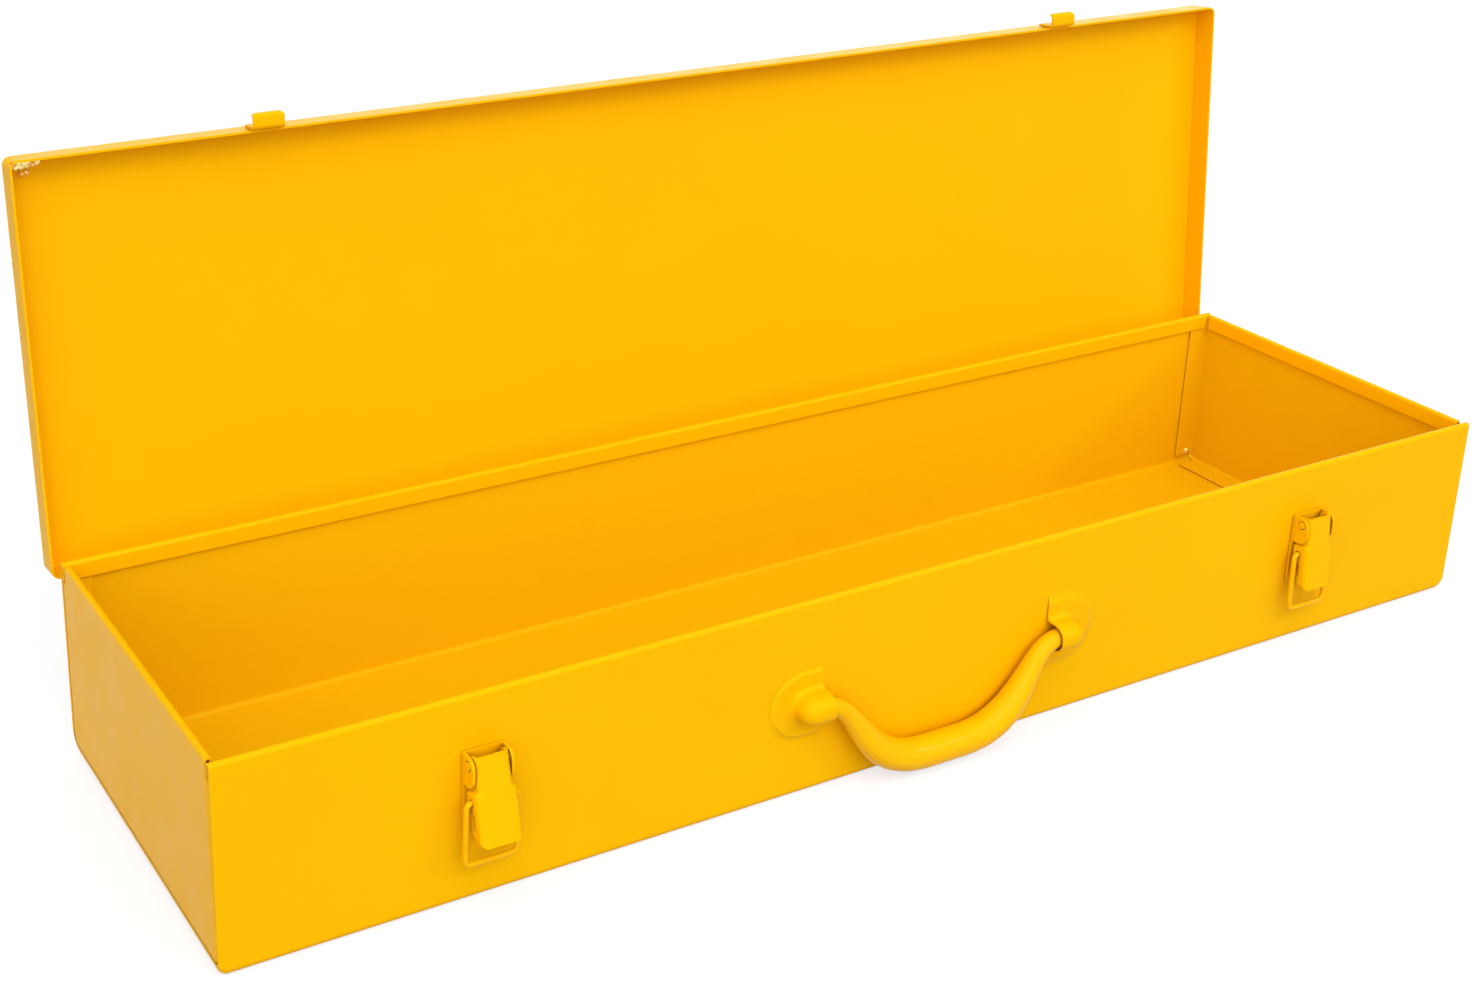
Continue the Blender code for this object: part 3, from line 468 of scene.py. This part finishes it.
def paint_material(name, waviness, gloss, refraction, crevice_shade, narrowest, reach):
    """Gloss paint on steel: slight mottling, orange peel, painted shade darkening its crevices,
    and a darker painted shade inside the box.

    gloss is the range of roughness, crevice_shade is the colour of the painted shade in
    crevices, reach is how far off a face may be and still darken the paint with that painted
    shade, and narrowest is how open a spot has to be to stay clear of that.
    """
    material, tree, shader, place = start_material(name)
    shader.inputs["IOR"].default_value = refraction
    shader.inputs["Specular IOR Level"].default_value = PAINT_SPECULAR

    cloud = noise(tree, place, MOTTLE_SCALE, detail=4.0)
    mottle = spread(tree, cloud, source=(0.35, 0.65), target=(0.0, 1.0))
    colour = blend_colour(tree, mottle, PAINT, PAINT_DEEP)
    # Painted shade: the walls and floor inside the box take a darker, duller tone of the paint.
    colour = blend_colour(tree, inside_box(tree, place), colour, INNER_PAINTED_SHADE)
    # Painted shade: the paint darkens towards the crevice shade colour where ambient occlusion
    # finds nearby faces.
    hollow = new_node(tree, "ShaderNodeAmbientOcclusion", Distance=reach)
    hollow.samples = CREVICE_SAMPLES
    depth = spread(tree, hollow.outputs["AO"], source=(CREVICE_DEEPEST, narrowest),
                   target=(CREVICE_STRENGTH, 0.0))
    colour = blend_colour(tree, depth, colour, crevice_shade)
    tree.links.new(colour, shader.inputs["Base Color"])

    haze = noise(tree, place, GLOSS_SCALE, detail=3.0)
    rough = spread(tree, haze, source=(0.3, 0.7), target=gloss)
    tree.links.new(rough, shader.inputs["Roughness"])

    swell = noise(tree, place, WAVE_SCALE, detail=2.0)
    waves = bump(tree, swell, waviness, WAVE_STRENGTH)
    grain = noise(tree, place, PEEL_SCALE, detail=2.0)
    peel = bump(tree, grain, PEEL_HEIGHT, PEEL_STRENGTH, waves)
    tree.links.new(peel, shader.inputs["Normal"])
    return material


def weld_material(name):
    """Shiny spatter, partly covered by paint."""
    material, tree, shader, place = start_material(name)
    shader.inputs["IOR"].default_value = SPATTER_REFRACTION
    spots = noise(tree, place, SPATTER_SCALE, detail=2.0)
    bare = spread(tree, spots, source=(0.4, 0.6), target=(0.0, 1.0))
    colour = blend_colour(tree, bare, PAINT, SPATTER)
    rough = spread(tree, bare, source=(0.0, 1.0), target=(0.22, 0.1))
    metal = spread(tree, bare, source=(0.0, 1.0), target=(0.0, SPATTER_METAL))
    tree.links.new(colour, shader.inputs["Base Color"])
    tree.links.new(rough, shader.inputs["Roughness"])
    tree.links.new(metal, shader.inputs["Metallic"])
    return material


def steel_material(name):
    """Bare drawn steel with a fine grain."""
    material, tree, shader, place = start_material(name)
    shader.inputs["Metallic"].default_value = 1.0
    grain = noise(tree, place, STEEL_SCALE, detail=3.0)
    colour = blend_colour(tree, grain, STEEL_DARK, STEEL_PALE)
    rough = spread(tree, grain, source=(0.3, 0.7), target=(0.28, 0.45))
    tree.links.new(colour, shader.inputs["Base Color"])
    tree.links.new(rough, shader.inputs["Roughness"])
    return material


def add_camera():
    """The photograph's viewpoint, shifted for its off-centre framing."""
    data = bpy.data.cameras.new("camera")
    data.sensor_width = 36.0
    data.lens = 51.8611
    data.shift_x = 0.12162
    data.shift_y = -0.12297
    data.clip_start = 0.01
    camera = bpy.data.objects.new("camera", data)
    camera.location = (-0.51001, -0.67195, 0.478)
    camera.rotation_euler = [math.radians(a) for a in (69.5131, -0.7657, -29.134)]
    scene.collection.objects.link(camera)
    scene.camera = camera


def add_soft_sun(name, strength, tilt, turn, breadth):
    """Broad parallel light: tilt is from overhead, turn is to the right of the front."""
    data = bpy.data.lights.new(name, "SUN")
    data.energy = strength
    data.angle = math.radians(breadth)
    lamp = bpy.data.objects.new(name, data)
    lamp.rotation_euler = (math.radians(tilt), 0.0, math.radians(turn))
    scene.collection.objects.link(lamp)


def seen_directly(tree):
    """1 for rays from the camera, mirrored or through glass too, and 0 for the rest."""
    path = tree.nodes.new("ShaderNodeLightPath").outputs
    seen = calculate(tree, "MAXIMUM", path["Is Camera Ray"], path["Is Glossy Ray"])
    return calculate(tree, "MAXIMUM", seen, path["Is Transmission Ray"])


def add_mix(tree, lit, seen, output):
    """Send one shader to the output for rays that see it directly, and another for the rest."""
    mix = tree.nodes.new("ShaderNodeMixShader")
    tree.links.new(seen_directly(tree), mix.inputs[0])
    tree.links.new(lit.outputs[0], mix.inputs[1])
    tree.links.new(seen.outputs[0], mix.inputs[2])
    tree.links.new(mix.outputs[0], tree.nodes.new(output).inputs["Surface"])


def add_world():
    """A white studio that adds only a little light of its own."""
    world = bpy.data.worlds.new("studio")
    world.use_nodes = True
    scene.world = world
    tree = world.node_tree
    tree.nodes.clear()
    soft = new_node(tree, "ShaderNodeBackground", Color=WHITE, Strength=AMBIENT)
    white = new_node(tree, "ShaderNodeBackground", Color=BACKGROUND, Strength=1.0)
    add_mix(tree, soft, white, "ShaderNodeOutputWorld")


def add_floor():
    """A pale floor that looks white and keeps a faint shadow of the object."""
    mesh = bpy.data.meshes.new("floor")
    corners = [(-1, -1), (1, -1), (1, 1), (-1, 1)]
    points = [(FLOOR_SIZE * x, FLOOR_SIZE * y, 0.0) for x, y in corners]
    mesh.from_pydata(points, [], [(0, 1, 2, 3)])
    floor = bpy.data.objects.new("floor", mesh)
    floor.location = (0.0, 0.0, -FLOOR_DROP)
    scene.collection.objects.link(floor)
    material = bpy.data.materials.new("floor_white")
    material.use_nodes = True
    tree = material.node_tree
    tree.nodes.clear()
    plain = new_node(tree, "ShaderNodeBsdfDiffuse", Color=FLOOR_GREY)
    faint = new_node(tree, "ShaderNodeBsdfDiffuse", Color=FLOOR_SHADE)
    glow = new_node(tree, "ShaderNodeEmission", Color=BACKGROUND, Strength=FLOOR_GLOW)
    both = tree.nodes.new("ShaderNodeAddShader")
    tree.links.new(faint.outputs[0], both.inputs[0])
    tree.links.new(glow.outputs[0], both.inputs[1])
    add_mix(tree, plain, both, "ShaderNodeOutputMaterial")
    mesh.materials.append(material)


sheet_paint = paint_material(
    "yellow_sheet_paint", waviness=0.07 * MM, gloss=(0.3, 0.42), refraction=1.1,
    crevice_shade=CREVICE_SHADE, narrowest=0.5, reach=3.0 * MM)
end_paint = paint_material(
    "yellow_end_paint", waviness=0.07 * MM, gloss=(0.3, 0.42), refraction=1.15,
    crevice_shade=CREVICE_SHADE, narrowest=0.5, reach=3.0 * MM)
fitting_paint = paint_material(
    "yellow_fitting_paint", waviness=0.02 * MM, gloss=(0.28, 0.38), refraction=1.1,
    crevice_shade=FITTING_CREVICE_SHADE, narrowest=0.72, reach=4.0 * MM)
handle_paint = paint_material(
    "yellow_handle_paint", waviness=0.02 * MM, gloss=(0.12, 0.18), refraction=1.14,
    crevice_shade=FITTING_CREVICE_SHADE, narrowest=0.66, reach=3.0 * MM)
weld_paint = weld_material("yellow_weld_paint")
pin_steel = steel_material("drawn_steel")

SHEETS = ("base_wrap", "lid_pan")
RODS = ("carry_handle", "left_latch_bail", "right_latch_bail")
for name in frame["nodes"]:
    if name in SHEETS:
        dress(name, sheet_paint, SHEET_EDGE)
    elif name.endswith("end_panel"):
        dress(name, end_paint, SHEET_EDGE)
    elif name in RODS:
        dress_round(name, handle_paint)
    elif name == "hinge_pin":
        dress(name, pin_steel, SHEET_EDGE)
    else:
        dress(name, fitting_paint, FITTING_EDGE)

weld_run("lid_corner_weld", "lid", weld_paint, start=(-309.6, 117.61, 239.6),
         end=(-296.8, 117.71, 240.4), out=LID_PANEL_OUT, width=2.0, height=0.17, lumps=6)
weld_run("lid_corner_drops", "lid", weld_paint, start=(-306.2, 117.2, 236.4),
         end=(-300.9, 117.25, 236.8), out=LID_PANEL_OUT, width=1.6, height=1.4, lumps=2)
for side, end_name in ((-1, "left"), (1, "right")):
    for wall, wall_name in ((-1, "front"), (1, "back")):
        weld_run(f"{end_name}_{wall_name}_weld", "base", weld_paint,
                 start=(side * 303.2, wall * FLANGE_FACE, 7.2),
                 end=(side * 306.9, wall * FLANGE_FACE, 7.5),
                 out=(0.0, -wall, 0.0), width=1.8, height=1.3, lumps=1)

add_camera()
add_world()
add_soft_sun("overhead", strength=0.95, tilt=34, turn=0, breadth=60)
add_soft_sun("wide_left", strength=2.6, tilt=54, turn=-53, breadth=105)
add_soft_sun("low_front", strength=1.22, tilt=80, turn=0, breadth=90)
add_soft_sun("narrow_right", strength=0.42, tilt=58, turn=50, breadth=12)
add_soft_sun("wide_back", strength=1.4, tilt=58, turn=140, breadth=70)
add_floor()
scene.view_settings.view_transform = "Standard"
